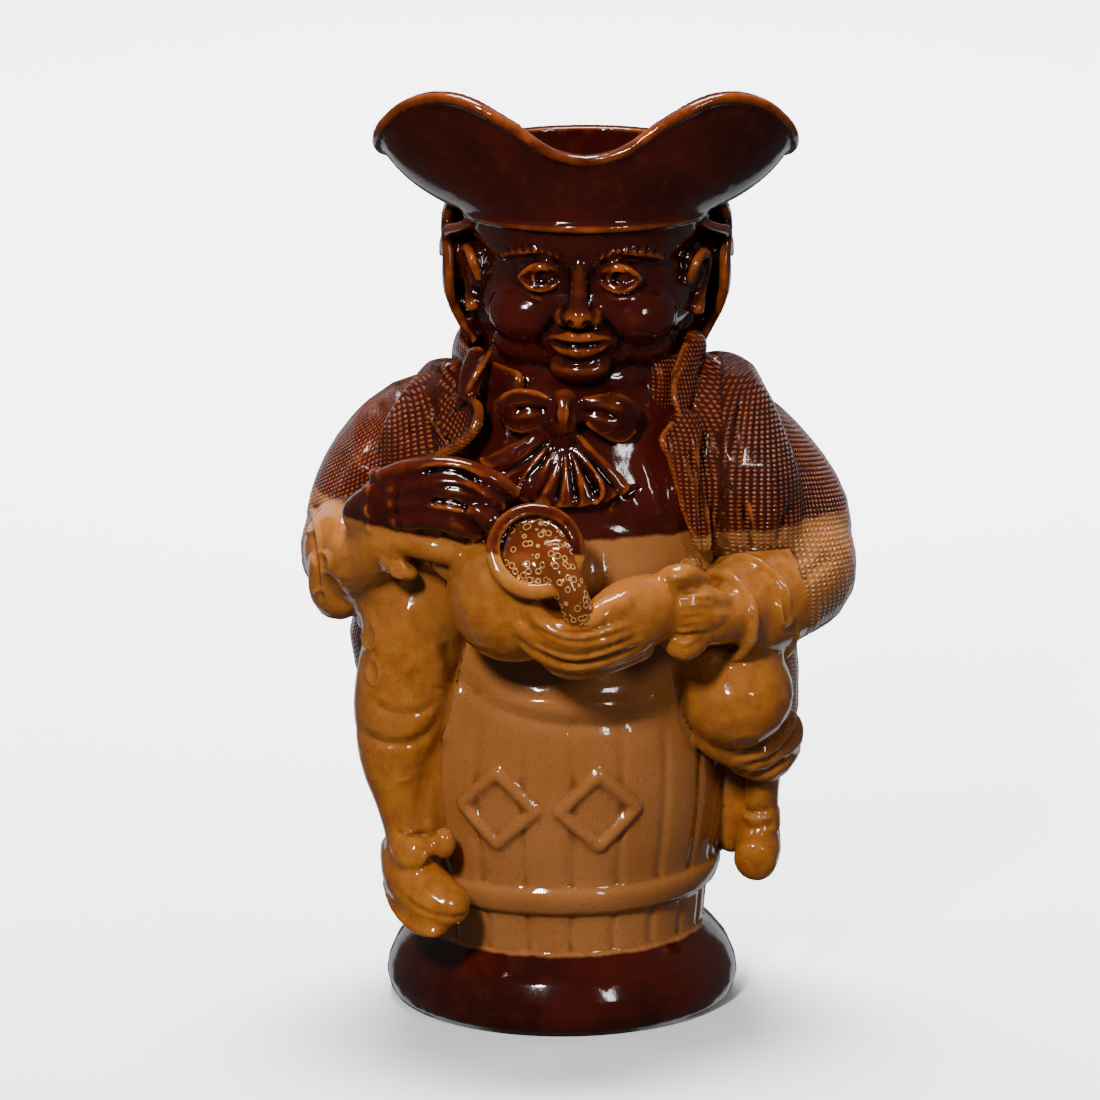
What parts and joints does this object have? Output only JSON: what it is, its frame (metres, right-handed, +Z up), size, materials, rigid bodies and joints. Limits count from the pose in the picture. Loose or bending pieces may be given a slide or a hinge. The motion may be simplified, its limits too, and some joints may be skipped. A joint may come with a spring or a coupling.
{
  "type": "toby jug",
  "caption": "Hollow stoneware jug shaped as a man in a cocked hat who sits astride a barrel with a frothing ale jug; the hat is the mouth and a loop handle is behind.",
  "frame": {"origin": "middle of the foot's flat underside, on the table top", "axes": "+Z up, -Y the way the figure faces, +X to the right of a viewer in front"},
  "size_m": [0.2043, 0.2076, 0.35],
  "materials": {
    "stoneware": "glossy salt glaze, dark brown above a level line at the chest and on the foot, tan between"
  },
  "bodies": {
    "root": {"toby_jug": "stoneware"}
  },
  "joints": []
}
